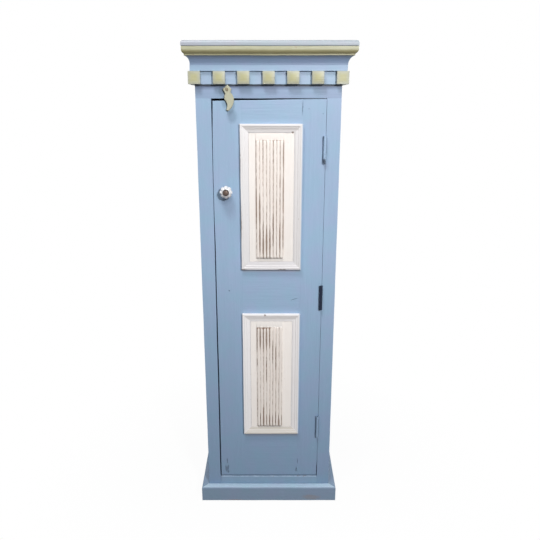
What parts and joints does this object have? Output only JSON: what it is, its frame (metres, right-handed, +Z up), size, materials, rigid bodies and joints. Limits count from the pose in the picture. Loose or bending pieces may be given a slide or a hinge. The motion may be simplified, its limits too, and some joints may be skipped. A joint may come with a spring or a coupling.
{
  "type": "bonnetiere cabinet",
  "caption": "Tall narrow painted wooden cupboard with a framed door, reeded panels, dentil cornice, melon knob, turn button and plinth; stands on the floor and holds linen on shelves.",
  "frame": {"origin": "centre of the overall box on the floor, under the plinth", "axes": "+X to the viewer's right as the door is faced, +Y towards the back, +Z up"},
  "size_m": [0.497, 0.3796, 1.525],
  "materials": {
    "blue_paint": "eggshell brush paint",
    "olive_paint": "eggshell brush paint",
    "white_paint": "worn chalky paint",
    "bare_pine": "bare, aged",
    "white_glaze": "gloss glaze",
    "bronze": "dark aged",
    "painted_iron": "painted over",
    "dark_iron": "dark, dull",
    "steel": "dulled"
  },
  "bodies": {
    "carcase": {"back_board_1": "bare_pine", "back_board_2": "bare_pine", "back_board_3": "bare_pine", "cornice_board": "blue_paint", "cove_front": "blue_paint", "cove_left": "blue_paint", "cove_right": "blue_paint", "dentil_strip_front": "olive_paint", "dentil_strip_left": "olive_paint", "dentil_strip_right": "olive_paint", "door_stop": "bare_pine", "face_stile_left": "blue_paint", "face_stile_right": "blue_paint", "floor_board": "bare_pine", "frame_leaf_screws": "steel", "frieze_rail": "blue_paint", "hinge_pins": "dark_iron", "lower_hinge_frame_leaf": "painted_iron", "middle_hinge_frame_leaf": "dark_iron", "ovolo_front": "olive_paint", "ovolo_left": "olive_paint", "ovolo_right": "olive_paint", "plinth_front": "blue_paint", "plinth_left": "blue_paint", "plinth_right": "blue_paint", "shelf_1": "bare_pine", "shelf_2": "bare_pine", "shelf_3": "bare_pine", "side_panel_left": "blue_paint", "side_panel_right": "blue_paint", "sill_rail": "blue_paint", "turn_button_screw": "steel", "upper_hinge_frame_leaf": "painted_iron"},
    "door": {"door_bottom_rail": "blue_paint", "door_leaf_screws": "steel", "door_lock_rail": "blue_paint", "door_stile_left": "blue_paint", "door_stile_right": "blue_paint", "door_top_rail": "blue_paint", "knob_bolt": "bronze", "knob_ceramic": "white_glaze", "knob_collar": "bronze", "knob_nut": "steel", "lower_hinge_door_leaf": "painted_iron", "lower_moulding_bottom": "white_paint", "lower_moulding_left": "white_paint", "lower_moulding_right": "white_paint", "lower_moulding_top": "white_paint", "lower_panel": "white_paint", "lower_tablet": "white_paint", "middle_hinge_door_leaf": "dark_iron", "upper_hinge_door_leaf": "painted_iron", "upper_moulding_bottom": "white_paint", "upper_moulding_left": "white_paint", "upper_moulding_right": "white_paint", "upper_moulding_top": "white_paint", "upper_panel": "white_paint", "upper_tablet": "white_paint"},
    "turn_button": {"turn_button": "olive_paint"}
  },
  "joints": [
    {"name": "door_swing", "type": "hinge", "parent": "carcase", "child": "door", "pos_m": [0.167, -0.15605, 0.75875], "axis": [0, 0, 1], "range_deg": [0, 170]},
    {"name": "turn_button_turn", "type": "hinge", "parent": "carcase", "child": "turn_button", "pos_m": [-0.12, -0.15505, 1.395], "axis": [0, 1, 0], "range_deg": [0, 90]}
  ]
}
